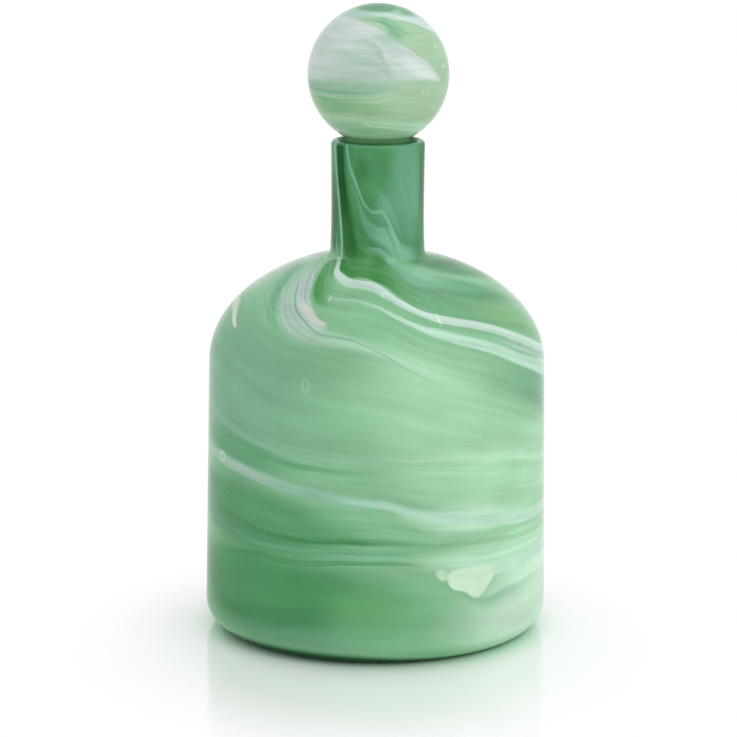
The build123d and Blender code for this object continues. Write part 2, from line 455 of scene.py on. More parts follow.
          (2, 132.4, 0.9, 0.9), (6, 127.2, 0.9, 0.9), (12, 118.8, 0.8, 0.7), (20, 108, 0.7, 0.5),
          (32, 99.6, 0.7, 0.5), (50, 87.8, 0.8, 0.5), (70, 70, 0.8, 0.5), (90, 60, 0.8, 0)]),
        ("haze", "around", (0.8, 0.8), (0.3, 3),
         [(42, 88, 1, 0), (52, 79.5, 3, 0.6), (60, 72, 3.8, 0.9), (70, 65, 3.6, 0.9), (80, 59.5, 3.4, 0.9),
          (110, 53, 3, 0)]),
        ("paleMint", "around", (0.5, 0.35), (0.15, 4),
         [(-26, 127, 1.4, 0), (-20, 124.5, 1.7, 0.35), (-10, 124, 1.8, 0.4), (-5, 121.5, 1.8, 0.45),
          (0, 118.3, 2, 0.6), (3, 115, 2.2, 0.7), (8, 109, 2.8, 0.85), (12, 104, 3, 0.9),
          (16, 99.5, 3.6, 0.95), (20, 95.5, 4.3, 0.95), (25, 92, 5.3, 0.95), (30, 88, 5.3, 0.95),
          (40, 80.8, 5.8, 1), (50, 72.3, 5.8, 1), (60, 64, 5.2, 1), (70, 58.5, 5.2, 1), (80, 54, 5.4, 1),
          (100, 48, 5, 0.9), (130, 50, 4.4, 0.8), (160, 64, 4, 0.75), (190, 86, 4, 0.7),
          (225, 114, 4.4, 0.6), (258, 136, 4, 0)]),
        # painted highlight: a cream streak on the left shoulder, with a painted dark edge just above it,
        # standing in for a reflection of a light
        ("butter", "around", (0.5, 0.4), (0.0, 2),
         [(-112, 110, 4, 0), (-88, 101, 5, 0.6), (-78, 98, 4.6, 0.75), (-73, 94, 3.8, 0.9),
          (-69, 89.6, 3, 1), (-66, 87, 2.2, 0.95), (-63.5, 85.4, 0.8, 0)]),
        ("shade", "around", (0.6, 0.6), (0.0, 2),
         [(-88, 107, 1.2, 0), (-76, 104.5, 1.3, 0.45), (-70, 97.5, 1.2, 0.5), (-66, 90, 1.1, 0.45),
          (-61, 84, 0.8, 0)]),
        ("dew", "around", (0.8, 0.8), (0.4, 4),
         [(-86, 38, 3, 0), (-70, 33, 4, 0.06), (-50, 26, 4, 0.08), (-30, 23, 4, 0.12), (-10, 20, 4, 0.2),
          (10, 19, 4, 0.3), (25, 19, 5, 0.5), (40, 18, 5.5, 0.75), (50, 16, 5.5, 0.8), (60, 13, 5.5, 0.8),
          (70, 9, 5, 0.8), (82, 6, 5, 0.8), (110, 4, 4, 0.5), (150, 14, 3, 0)]),
        ("aqua", "around", (0.6, 0.6), (0.0, 2),
         [(-90, 33, 1, 0), (-76, 30, 2, 0.1), (-60, 26, 2, 0.15), (-45, 22.5, 1.9, 0.25),
          (-30, 21.5, 1.7, 0.25), (-20, 19.5, 1.2, 0)]),
        ("grass", "around", (0.6, 0.6), (0.2, 2),
         [(-50, 17, 2, 0), (-38, 16, 2.2, 0.5), (-22, 14, 2, 0.5), (-12, 13.5, 1.8, 0.4), (-3, 13, 1.5, 0.2),
          (8, 11.5, 1.5, 0)]),
        ("sage", "around", (0.6, 0.6), (0.0, 2),
         [(-30, 23, 1, 0), (-20, 21.3, 1.4, 0.4), (-10, 20.7, 1.4, 0.4), (0, 19, 1.4, 0.35),
          (12, 17.4, 1.4, 0.3), (24, 16, 1.4, 0.25), (40, 13, 1, 0)]),
        ("haze", "around", (0.6, 0.45), (0.2, 3),
         [(-150, 30, 3, 0), (-100, 14, 4, 0.6), (-80, 9.5, 4, 0.6), (-70, 9.7, 4, 0.65), (-60, 8.8, 4, 0.75),
          (-50, 7.2, 3.8, 0.8), (-40, 4.5, 3.7, 0.75), (-30, 2.2, 3.4, 0.65), (-20, 1.2, 3, 0.35),
          (-8, -1.4, 2.2, 0)]),
        ("snow", "around", (1.0, 0.7), (0.3, 4),
         [(5, -8, 3, 0), (12, -10, 6, 0.25), (18, -12, 9, 0.38), (28, -12, 12, 0.75), (38, -12.5, 11, 0.8),
          (55, -17, 5.5, 0.6), (80, -20, 5.5, 0.5), (110, -19, 4, 0)]),
        ("aqua", "around", (0.6, 0.4), (0.15, 3),
         [(-45, 5, 1, 0), (-30, 2.2, 3.2, 0.7), (-20, 1.0, 3.5, 0.9), (-10, -1.5, 3.4, 0.95),
          (0, -2.8, 3.4, 0.95), (5, -4.2, 3.3, 0.85), (12, -7.4, 2.6, 0.4), (20, -11, 2.6, 0)]),
        ("paleMint", "around", (0.7, 0.4), (0.15, 3),
         [(-20, 1, 1.2, 0), (-8, -1.6, 2.2, 0.4), (0, -2.8, 2.6, 0.6), (5, -4.2, 2.9, 0.75),
          (10, -6.8, 3.2, 0.85), (15, -9, 3.4, 0.95), (20, -10.8, 3.5, 1), (25, -12.3, 3.6, 1),
          (35, -15, 3, 1), (45, -17, 3, 1), (60, -20.6, 3.3, 1), (80, -22, 3, 0.9), (110, -22, 3.2, 0.85),
          (150, -14, 3.4, 0.8), (180, -3, 3.4, 0.8), (210, 10, 3, 0.7), (240, 16, 3, 0.5), (272, 14, 3, 0)]),
        ("bottle", "around", (0.8, 0.7), (0.3, 3),
         [(-90, -18, 1, 0), (-64, -19, 1.5, 0.4), (-50, -20.5, 2, 0.8), (-40, -23, 2.3, 1),
          (-30, -24, 2.6, 1), (-20, -23.5, 2.9, 1), (-10, -23, 2.9, 1), (0, -23, 2.7, 0.8),
          (8, -23.6, 2.2, 0.4), (18, -25.5, 1.8, 0)]),
        ("leaf", "around", (0.6, 0.6), (0.2, 3),
         [(-4, -23, 1.5, 0), (6, -23.3, 2.2, 0.5), (15, -25, 2, 0.25), (25, -27, 2, 0.2), (35, -27, 2, 0.3),
          (45, -27.6, 2, 0.35), (55, -29, 1.8, 0.35), (70, -29.5, 1.7, 0.25), (90, -30, 1.6, 0.2),
          (120, -26, 1.5, 0)]),
        ("sea", "around", (0.6, 0.6), (0.3, 3),
         [(-80, -24, 1, 0), (-60, -26.5, 1.6, 0.5), (-50, -28.3, 1.7, 0.55), (-40, -30, 1.8, 0.6),
          (-25, -30, 1.9, 0.6), (-10, -29, 2, 0.7), (2, -29, 2, 0.7), (12, -30, 2, 0)]),
        ("bottle", "around", (0.6, 0.6), (0.3, 3),
         [(-70, -42, 1, 0), (-58, -39.5, 2.4, 0.6), (-48, -37.4, 2.8, 0.8), (-40, -36.2, 2.8, 0.8),
          (-30, -36.6, 2.4, 0.8), (-20, -36, 2, 0.8), (-10, -34.6, 1.7, 0.8), (0, -34, 1.5, 0.7),
          (8, -34.7, 1.3, 0.5), (16, -37.5, 1, 0)]),
        ("paleMint", "around", (0.7, 0.8), (0.3, 3),
         [(14, -39, 2, 0), (26, -38, 3, 0.2), (36, -41, 4, 0.8), (42, -43, 5, 1), (55, -43.5, 5.5, 1),
          (70, -42, 5.5, 0.95), (85, -41, 5, 0.9), (110, -41, 4.4, 0.8), (150, -44, 3.6, 0.75),
          (190, -43, 3.2, 0.75), (230, -46, 3, 0.6), (270, -45, 2.5, 0)]),
        ("sage", "around", (0.7, 0.9), (0.3, 3),
         [(20, -46, 1, 0), (25, -50, 2, 0.4), (30, -54.5, 3, 0.5), (35, -58.5, 4, 0.6), (40, -60, 5, 0.65),
          (48, -58, 6, 0.6), (58, -57, 4.6, 0.35), (70, -55.5, 3, 0.15), (84, -54, 2, 0)]),
        ("frost", "around", (0.25, 0.2), (0.1, 2),
         [(23.8, -44, 2, 0), (25, -45, 4.4, 0.9), (26.5, -45.4, 6, 1), (29, -45.8, 6.8, 1),
          (31, -46.4, 7.4, 1), (33, -47.6, 8.8, 1), (35, -48.2, 9.4, 1), (37, -47.6, 8.4, 1),
          (39.5, -46, 6.4, 1), (41.4, -44.6, 4.6, 0.95), (42.8, -43.8, 3, 0.6), (45, -43.6, 2.4, 0.25),
          (56, -43.5, 3, 0.15), (70, -42.5, 3, 0)]),
        ("frost", "around", (0.5, 0.5), (0.0, 2),
         [(19.4, -41, 1, 0), (20.5, -41.4, 2.6, 0.6), (22, -42.2, 3.6, 0.75), (23.5, -42.8, 3.2, 0.55),
          (25.2, -44, 2.4, 0.45), (27, -45, 1, 0)]),
        # painted contact shadow: a dark green band round the bottom of the heel, strongest at the front
        ("deep", "around", (0.4, 0.05), (0.0, 2),
         [(-82, -104.5, 8, 0), (-70, -104.5, 14, 0.6), (-62, -104.5, 18, 0.85), (-52, -104.5, 21.5, 0.95),
          (-40, -104.5, 22.5, 1), (-25, -104.5, 22.5, 1), (-10, -104.5, 21.5, 1), (0, -104.5, 20, 1),
          (10, -104.5, 17.5, 0.95), (20, -104.5, 15, 0.85), (32, -104.5, 12.5, 0.6), (46, -104.5, 10, 0.3),
          (60, -104.5, 8, 0)]),
        ("smoke", "up", (0.5, 0.3), (0.2, 3),
         [(176, -64, 4, 0), (182, -67, 8, 0.9), (190, -68, 12, 1), (198, -69, 12, 1), (208, -72, 11, 0.95),
          (216, -76, 9, 0.7), (228, -80, 6, 0)]),
        ("pine", "up", (0.5, 0.4), (0.2, 3),
         [(172, -30, 6, 0), (180, -34, 11, 0.9), (190, -38, 12, 1), (200, -42, 11, 1), (212, -47, 10, 1),
          (224, -51, 10, 1), (236, -53, 10, 1)]),
        ("deep", "up", (0.5, 0.5), (0.2, 3),
         [(186, -40, 6, 0), (197, -44, 7, 0.5), (207, -47.5, 8, 0.85), (220, -52, 8.5, 1),
          (236, -54, 8.5, 1)]),
        ("aqua", "up", (0.5, 0.6), (0.0, 3),
         [(166, -45, 1.0, 0), (172, -46.6, 1.7, 0.9), (178, -48, 2.1, 1), (188, -50.5, 2.1, 1),
          (198, -54, 2.3, 0.95), (208, -57.5, 2.5, 0.9), (216, -60.5, 2.8, 0.9), (225, -64, 3.4, 0.8),
          (236, -67, 4, 0.8)]),
        ("mint", "up", (0.5, 0.5), (0.0, 3),
         [(168, -46, 0.6, 0), (172, -46.8, 0.9, 0.9), (178, -48.3, 1.2, 1), (188, -50.2, 1.2, 1),
          (198, -53.6, 1.2, 0.7), (210, -58, 1.2, 0.4), (220, -62, 1, 0)]),
        ("aqua", "up", (0.5, 0.5), (0.0, 3),
         [(172, -56, 2.0, 0), (175, -57.5, 2.4, 0.7), (179, -59.5, 2.2, 0.8), (186, -61, 1.6, 0.3),
          (193, -61.5, 1, 0)]),
        ("smoke", "up", (0.5, 0.5), (0.2, 3),
         [(192, 61, 2, 0), (202, 64, 3, 0.5), (213, 65.5, 3, 0.8), (225, 64, 3, 0.5), (236, 62, 3, 0)]),
        ("sea", "around", (0.5, 0.5), (0.3, 4),
         [(-36, 214, 1, 0), (-30, 211, 2.5, 0.6), (-24, 204, 3, 0.8), (-18, 197, 5, 0.8), (-10, 191, 6, 0.8),
          (0, 188, 7, 0.7), (10, 185, 7, 0.7), (20, 183, 6, 0.6), (32, 176, 5, 0)]),
        ("aqua", "around", (0.7, 0.9), (0.3, 4),
         [(-48, 246, 6, 0.8), (-43, 236, 6.5, 0.8), (-40, 229, 6, 0.8), (-36, 222, 4.6, 0.75),
          (-30, 216.5, 3.4, 0.75), (-22, 209, 2.8, 0.7), (-18, 205, 2.2, 0.65), (-12, 202, 1.8, 0.6),
          (-6, 200, 1.7, 0.6), (0, 200.2, 1.7, 0.65), (5, 199.8, 2, 0.7), (9, 197.8, 2.4, 0.7),
          (13, 194.8, 2.7, 0.75), (17, 191.3, 2.8, 0.8), (21, 187.3, 2.8, 0.8), (25, 183, 2.8, 0.8),
          (29, 178, 2.8, 0.7), (38, 168, 3, 0)]),
        ("aqua", "around", (0.5, 0.5), (0.3, 3),
         [(-8, 189, 3, 0), (4, 187.5, 6, 0.6), (12, 186, 7.5, 0.8), (18, 184, 8, 0.95), (25, 181, 7, 0.95),
          (33, 177.8, 5.5, 0.9), (46, 177, 4.5, 0.5), (58, 176, 3, 0)]),
        ("teal", "around", (0.5, 0.5), (0.0, 2),
         [(-34, 213, 1, 0), (-28, 209, 1.4, 0.6), (-22, 204.5, 1.3, 0.8), (-16, 200, 1.1, 0.6),
          (-8, 197.3, 1, 0.5), (0, 197, 1, 0.4), (8, 193, 1, 0.7), (13, 189, 1, 0.8), (18, 184, 1, 0.7),
          (24, 179, 1, 0)]),
        ("aqua", "around", (0.5, 0.5), (0.0, 2),
         [(-14, 182, 0.8, 0), (-6, 180.5, 1, 0.5), (0, 180.2, 1.6, 0.6), (5, 179, 2.2, 0.75),
          (10, 177, 2.4, 0.7), (15, 174, 2, 0)]),
    ],
    "seedsAndPaintedLight": [
        # glass, then angle, level, reach, rise, slope, core, strength of each
        ("dew", [(-63.5, 10, 3.2, 4.2, 0.0, 0.3, 0.75), (-24, 57, 2.2, 6, 0.0, 0.5, 0.25)]),
        ("sage", [(-63.5, 10, 1.5, 2.2, 0.0, 0.2, 0.9), (-24, 57, 1.3, 4.2, 0.0, 0.3, 0.6)]),
        # painted light: the lip and the top of its inside are a paler green, for light that comes through the
        # thin glass there
        ("sea", [(0, 238.5, 400, 6.4, 0.0, 0.6, 0.6)]),
        # painted highlights: three short pale slashes across the white band, glints of small ridges in the
        # glass
        ("snow", [(25.6, 105, 1.0, 6.6, 0.0, 0.3, 0.9), (2.6, 131.4, 0.9, 5, 2.0, 0.2, 0.8),
                  (-23.4, 124.6, 0.7, 4.8, 0.0, 0.2, 0.7)]),
    ],
    "guides": {
        "angles": [-180, -150, -120, -100, -80, -60, -40, -20, 0, 20, 40, 60, 80, 100, 120, 150, 180],
        "levels": [
            [-110] * 17,
            [-42, -44, -46, -46, -45, -41, -38, -36, -34, -38, -42, -41, -40, -38, -37, -38, -42],
            [-22, -20, -18, -20, -21, -21, -23, -23, -23, -26, -27, -28, -29, -30, -30, -27, -22],
            [-2, 8, 16, 15, 12, 7, 5, 0, -2, -10.5, -15, -18.5, -19, -19, -18, -12, -2],
            [22, 34, 42, 42, 38, 33, 26, 21, 19, 16, 13, 9, 4, 1, 2, 10, 22],
            [62, 92, 118, 128, 130, 112, 93, 86, 78, 62, 50, 38, 27, 22, 24, 38, 62],
            [92, 120, 148, 160, 165, 150, 132, 125, 118, 93, 80, 64, 52, 46, 48, 64, 92],
            [115, 142, 160, 168, 171, 168, 163, 146, 137, 108, 96, 82, 65, 58, 62, 84, 115],
            [146, 160, 170, 174, 176, 176, 176, 178, 178, 150, 118, 107, 100, 98, 104, 124, 146],
            [190, 208, 226, 236, 240, 240, 235, 207, 200, 182, 154, 138, 125, 122, 130, 158, 190],
            [250] * 17,
        ],
    },
}


# Ball stopper, in millimetres and degrees. Levels are degrees of latitude on the ball.
stopper = {
    "segments": 96,
    # ball, waist and plug, as radius and height
    "ballCentre": 292.624, "ballRadius": 36.75, "ballInner": 33.15,
    "waistCentre": (19.2, 257.81), "waistRounding": 3.0,
    "plugShoulder": [(16.2, 256.8), (16.35, 255.9), (16.75, 255.1),
                     (18.9, 253.65), (19.45, 253.2), (19.7, 252.6)],
    "plugEnds": [(19.66, 251.6), (18.56, 229.6)],
    "rimCentres": [(16.47, 229.5), (13.7, 229.54)], "rimRounding": 2.0,
    "stemEnds": [(11.7, 231.5), (11.7, 256.5)], "stemMouthCentre": (15.7, 258.95), "stemMouthRounding": 4.0,
    # glass: the plug is ground on its outside, below one height and beyond one radius
    "roughness": 0.12, "frostedRoughness": 0.5, "specular": 0.07, "baseGlass": "lime", "frostedGlass": "leaf",
    "plugBelow": (252.6, 253.4), "plugBeyond": (17.0, 17.6),
    "flowStep": 10.0,                  # degrees of latitude to one step of the flow
    "flowSway": (14.0, 1.4), "drift": (14.0, 9.0),      # scale of the noise, and its reach
    "drawn": {"along": 1.4, "lines": [(2.0, 0.3), (6.0, 0.16)], "mottle": (45.0, 4.0, 0.16)},
    "seedsAndPaintedLight": [
        # painted highlights: small pale glints on the ball
        ("snow", [(-72, 27, 4, 3, 0.0, 0.2, 0.8), (62, 28, 3, 3, 0.0, 0.2, 0.8),
                  (66, 9, 3, 2.4, 0.0, 0.2, 0.8), (38, -9, 2.4, 2, 0.0, 0.2, 0.6),
                  (-44, -47, 3, 2, 0.0, 0.2, 0.6)]),
        ("aqua", [(8, 35, 20, 12, -0.3, 0.0, 0.4), (-24, 20, 20, 8, -0.2, 0.0, 0.2)]),
        # painted shade: the waist under the ball and the plug are dark green, where the gap between the ball
        # and the lip lies in shadow
        ("forest", [(0, -90, 400, 27.2, 0.0, 0.93, 0.85)]),
        ("rose", [(-28, 46, 20, 9, -0.25, 0.0, 0.55)]),
    ],
    "patches": [
        ("crown", -10, 84, 110, 20, 0.0, 0.7, 0.95),
        ("teal", 20, 80, 90, 16, 0.0, 0.3, 0.6),
        ("sea", 14, 68, 24, 6, 0.0, 0.2, 0.7),
        ("jade", 14, 50, 26, 9, -0.5, 0.2, 0.9),
        ("sea", 16, 41, 12, 6, -0.5, 0.2, 0.6),
        ("sea", 62, 65, 28, 9, 0.0, 0.3, 0.8),
        ("leaf", -46, -22, 32, 10, 0.0, 0.3, 0.55),
        ("moss", -14, -23, 34, 9, -0.05, 0.2, 0.6),
        ("jade", -24, -44, 50, 11, -0.1, 0.3, 0.65),
        ("spring", 0, -64, 200, 16, 0.0, 0.4, 0.9),
        ("dew", 58, -49, 28, 12, 0.0, 0.2, 0.9),
    ],
    "trails": [
        ("sea", "around", (0.6, 0.6), (0.5, 4),
         [(20, 77, 2, 0), (35, 73, 3, 0.5), (55, 70, 3.5, 0.8), (75, 69, 4, 0.8), (95, 69, 4, 0.6),
          (150, 74, 3, 0)]),
        ("veil", "around", (0.18, 0.45), (0.15, 8),
         [(-170, 36, 8, 0), (-140, 33, 21, 0.7), (-110, 28.5, 29.5, 1), (-80, 26.5, 34.5, 1),
          (-60, 26.5, 34.5, 1), (-45, 26.9, 34.1, 1), (-34, 26.4, 33, 1), (-24, 25, 31, 1),
          (-14, 24, 28.5, 1), (-6, 22.7, 27.3, 1), (0, 21.8, 25.8, 1), (6, 20.5, 22.8, 1), (12, 18, 19.6, 1),
          (20, 15.6, 16.4, 1), (28, 13.2, 14.2, 1), (35, 10.3, 11.3, 1), (45, 6.3, 8.4, 1), (52, 2.5, 5, 1),
          (60, -1, 1.6, 0)]),
        ("rill", "around", (0.3, 0.4), (0.3, 5),
         [(-70, 62, 4.3, 1), (-40, 61.9, 4.3, 1), (0, 61.9, 4.2, 1), (15, 61, 5.2, 1), (25, 59.5, 5.4, 1),
          (35, 57.8, 5.4, 1), (45, 55.5, 6, 1), (52, 53.2, 6.6, 1), (60, 50, 8, 1), (75, 46.5, 11.5, 1),
          (90, 43, 13, 1), (120, 41, 10, 1), (160, 48, 6, 1), (200, 57, 4.5, 1), (240, 61, 4.2, 1),
          (290, 62, 4.3, 1)]),
        ("milk", "around", (0.5, 0.5), (0.5, 5),
         [(-30, 61.5, 1.5, 0), (-5, 61.6, 3, 0.4), (10, 61.4, 4, 0.6), (20, 59.5, 4.5, 0.7),
          (30, 57.2, 4.6, 0.8), (40, 55.4, 4.8, 0.9), (50, 52.5, 5.2, 0.9), (60, 49.5, 7, 0.95),
          (75, 46, 10, 0.95), (100, 42, 9, 0.8), (140, 44, 6, 0)]),
        ("sea", "around", (0.6, 0.4), (0.2, 3),
         [(-18, 55.5, 0.6, 0), (-8, 54.4, 1.2, 0.5), (0, 53, 1.8, 0.6), (8, 50.5, 2.4, 0.8),
          (14, 47, 2.2, 0.6), (24, 43, 1.6, 0.3), (34, 38, 1.2, 0)]),
        ("mist", "around", (1.0, 0.12), (0.3, 4),
         [(-120, -5, 6, 0), (-90, -5.6, 7.4, 0.7), (-60, -6, 7.8, 0.95), (-30, -5.8, 7.8, 1),
          (-12, -5.2, 7.6, 0.9), (2, -3.6, 6.6, 0.55), (15, -2, 5.4, 0.3), (28, -0.6, 4.4, 0.15),
          (44, -0.6, 3, 0)]),
        ("haze", "around", (0.8, 0.6), (0.4, 5),
         [(-70, 4, 8, 0), (-50, 8, 12, 0.3), (-28, 13, 18, 0.6), (-14, 15, 20, 0.85), (-2, 13, 20, 0.9),
          (6, 8, 15, 0.8), (14, 3, 9, 0.5), (26, -1, 6, 0)]),
        ("ash", "around", (0.8, 0.8), (0.2, 5),
         [(-34, 28, 1, 0), (-20, 33, 4, 0.4), (-8, 31, 5, 0.7), (0, 24, 7, 0.7), (6, 12, 6, 0.6),
          (10, 4, 4, 0.5), (16, -2, 3, 0)]),
        ("milk", "around", (0.7, 0.6), (0.2, 4),
         [(10, 22, 2, 0), (18, 17.5, 5, 0.35), (25, 14.5, 7.6, 0.85), (32, 11, 8.6, 1), (40, 7.5, 7, 1),
          (48, 4, 4.8, 0.9), (54, 1, 2.6, 0.7), (60, -1, 1, 0)]),
        ("sage", "around", (0.6, 0.6), (0.2, 2),
         [(-100, -8.5, 1, 0), (-60, -9, 1.5, 0.6), (-40, -9.4, 1.6, 0.7), (-20, -9, 1.4, 0.5),
          (-5, -8, 1.2, 0.25), (10, -6.5, 1, 0)]),
        ("leaf", "around", (0.4, 0.6), (0.2, 2),
         [(-90, -15, 1.6, 0), (-50, -15.4, 1.8, 0.5), (-30, -15.2, 1.7, 0.5), (-10, -14.4, 1.4, 0.35),
          (6, -12, 1, 0)]),
        ("dew", "around", (0.4, 0.4), (0.5, 4),
         [(-120, -30, 4, 0.6), (-55, -33, 3.4, 0.25), (-30, -34, 3.2, 0.2), (-10, -37, 4, 0.5),
          (10, -39, 5, 0.8), (30, -41, 6.6, 0.95), (50, -43.5, 7.5, 1), (80, -46, 6, 0.8),
          (140, -40, 4, 0.7), (190, -31, 4, 0.6), (240, -30, 4, 0.6)]),
        ("sea", "around", (0.5, 0.5), (0.4, 3),
         [(-90, -40, 2, 0), (-60, -43, 2, 0.25), (-20, -47, 2, 0.25), (10, -51, 2, 0.3), (50, -55, 3, 0)]),
    ],
}


# Part of an oval, from one angle to another in degrees
def oval(centre, width, rise, start, end, steps):
    points = []
    for step in range(steps + 1):
        angle = math.radians(start + (end - start) * step / steps)
        points.append((centre[0] + width * math.cos(angle), centre[1] + rise * math.sin(angle)))
    return points


def arc(centre, size, start, end, steps):
    return oval(centre, size, size, start, end, steps)


def straight(first, last, steps):
    return [
        (first[0] + (last[0] - first[0]) * step / steps, first[1] + (last[1] - first[1]) * step / steps)
        for step in range(steps + 1)
    ]


# Shallow dome from the axis out to an edge
def dome(rise, edgeRadius, edgeHeight, stops):
    drop = rise - edgeHeight
    bend = (edgeRadius ** 2 + drop ** 2) / (2 * drop)
    return [(radius, rise - bend + math.sqrt(bend ** 2 - radius ** 2)) for radius in stops]


# From the axis under the foot, up the outside, over the lip, and down the inside to the floor
def bottleOutline():
    b = bottle
    heelCentre = (b["heelRadius"] - b["heelRounding"], b["heelRounding"])
    shoulderCentre = (0, b["shoulderHeight"])
    points = dome(b["puntRise"], b["footInnerRadius"], 0.0, b["puntStops"])
    points += b["footRing"]
    points += arc(heelCentre, b["heelRounding"], -90, 0, 12)
    points += straight(*b["sideEnds"], 12)
    points += oval(shoulderCentre, b["shoulderRadius"], b["shoulderRise"], 2, 71.2, 22)
    points += arc(b["rootCentre"], b["rootRounding"], -101, -180, 5)
    neckLow, waist, neckHigh = b["rootCentre"][1], b["neckWaistHeight"], b["lipLevel"]
    for step in range(1, 13):
        height = neckLow + (neckHigh - neckLow) * step / 12
        if height < waist:
            reach, edge = (height - waist) / (waist - b["neckRootHeight"]), b["neckRootRadius"]
        else:
            reach, edge = (height - waist) / (neckHigh - waist), b["neckMouthRadius"]
        points.append((b["neckWaistRadius"] + (edge - b["neckWaistRadius"]) * reach ** 2, height))
    points += arc((b["seatMouthRadius"] + b["lipRadius"], b["lipLevel"]), b["lipRadius"], 18, 180, 9)
    # the seat starts a little below the round of the lip, and the bore a little below the seat
    points += straight((b["seatMouthRadius"] - 0.1, b["lipLevel"] - 2), (b["boreRadius"], b["seatBottom"]), 6)
    points += straight((b["boreRadius"], b["seatBottom"] - 1.5), (b["boreRadius"], b["boreBottom"]), 4)
    innerRootCentre = (b["boreRadius"] + b["innerRootRounding"], b["innerRootHeight"])
    points += arc(innerRootCentre, b["innerRootRounding"], 180, 262, 6)
    points += oval(shoulderCentre, b["innerShoulderRadius"], b["innerShoulderRise"], 72, 2, 18)
    points += straight(*b["innerSideEnds"], 8)
    points += arc(b["innerHeelCentre"], b["innerHeelRounding"], 0, -97, 7)
    points += reversed(dome(b["floorRise"], b["innerBaseRadius"], b["floorEdge"], b["floorStops"]))
    return points


# From the top of the ball down its outside to the end of the plug, then up the inside
def stopperOutline():
    s = stopper
    ballCentre = (0, s["ballCentre"])
    points = arc(ballCentre, s["ballRadius"], 87, -61.1, 36)
    points += arc(s["waistCentre"], s["waistRounding"], 119, 180, 5)
    points += s["plugShoulder"]
    points += straight(*s["plugEnds"], 5)
    outerRim, innerRim = s["rimCentres"]
    points += arc(outerRim, s["rimRounding"], -3, -90, 6)
    points += arc(innerRim, s["rimRounding"], -90, -180, 6)
    points += straight(*s["stemEnds"], 5)
    points += arc(s["stemMouthCentre"], s["stemMouthRounding"], 180, 115, 5)
    points += arc(ballCentre, s["ballInner"], -62, 87, 34)
    return points


def selectRing(mesh, radius, height, closeEnough=1e-5):
    bpy.ops.mesh.select_all(action="DESELECT")
    bpy.ops.object.mode_set(mode="OBJECT")
    for vertex in mesh.vertices:
        x, y, z = vertex.co
        vertex.select = abs(z - height) < closeEnough and abs(math.hypot(x, y) - radius) < closeEnough
    bpy.ops.object.mode_set(mode="EDIT")


# One more ring in its place, drawn in to a point at the pole
def closePole():
    bpy.ops.mesh.extrude_edges_move(TRANSFORM_OT_translate={"value": (0, 0, 0)})
    bpy.ops.mesh.merge(type="CENTER")


# Glass is drawn up ring by ring along its outline, then both poles are closed
def drawGlass(name, outline, segments):
    outline = [(radius / perMetre, height / perMetre) for radius, height in outline]
    bpy.ops.object.select_all(action="DESELECT")
    radius, height = outline[0]
    bpy.ops.mesh.primitive_circle_add(vertices=segments, radius=radius, location=(0, 0, height))
    piece = bpy.context.object
    piece.name = piece.data.name = name
    bpy.ops.object.transform_apply(location=True, rotation=True, scale=True)
    bpy.ops.object.mode_set(mode="EDIT")
    bpy.ops.mesh.select_all(action="SELECT")
    for nextRadius, nextHeight in outline[1:]:
        bpy.ops.mesh.extrude_edges_move(TRANSFORM_OT_translate={"value": (0, 0, nextHeight - height)})
        share = nextRadius / radius
        bpy.ops.transform.resize(value=(share, share, 1), center_override=(0, 0, nextHeight))
        radius, height = nextRadius, nextHeight
    closePole()
    selectRing(piece.data, *outline[0])
    closePole()
    bpy.ops.mesh.select_all(action="SELECT")
    bpy.ops.mesh.remove_doubles(threshold=1e-6)
    bpy.ops.mesh.normals_make_consistent(inside=False)
    bpy.ops.object.mode_set(mode="OBJECT")
    bpy.ops.object.modifier_add(type="SUBSURF")
    rounding = piece.modifiers[-1]
    rounding.levels = rounding.render_levels = 1
    bpy.ops.object.modifier_apply(modifier=rounding.name)
    bpy.ops.object.shade_smooth()
    return piece


bottleGlass = drawGlass("bottleGlass", bottleOutline(), bottle["segments"])
print("bottle drawn,", len(bottleGlass.data.polygons), "faces")
ballStopper = drawGlass("ballStopper", stopperOutline(), stopper["segments"])
print("stopper drawn,", len(ballStopper.data.polygons), "faces")


# Object coordinates, and from them the angle from the front in degrees, and radius and height
def placeOnGlass(tree):
    place = addNode(tree, "TexCoord").outputs["Object"]
    inMillimetres = addNode(tree, "VectorMath", (place,), operation="SCALE")
    inMillimetres.inputs["Scale"].default_value = perMetre
    x, y, z = addNode(tree, "SeparateXYZ", (inMillimetres.outputs[0],)).outputs
    squares = [sums(tree, "MULTIPLY", part, part) for part in (x, y)]
    radius = sums(tree, "SQRT", sums(tree, "ADD", *squares))
    around = sums(tree, "DEGREES", sums(tree, "ARCTAN2", x, sums(tree, "MULTIPLY", y, -1.0)))
    return place, around, radius, z


def newMaterial(name):
    material = bpy.data.materials.new(name)
    material.use_nodes = True
    return material, material.node_tree, material.node_tree.nodes["Principled BSDF"]


# One channel of a coloured noise moves a value about
def wander(tree, place, value, scale, reach, channel):
    clouds = cloud(tree, place, scale)
    parts = addNode(tree, "SeparateColor", (clouds.outputs["Color"],))
    return sway(tree, parts.outputs[channel], reach, value)


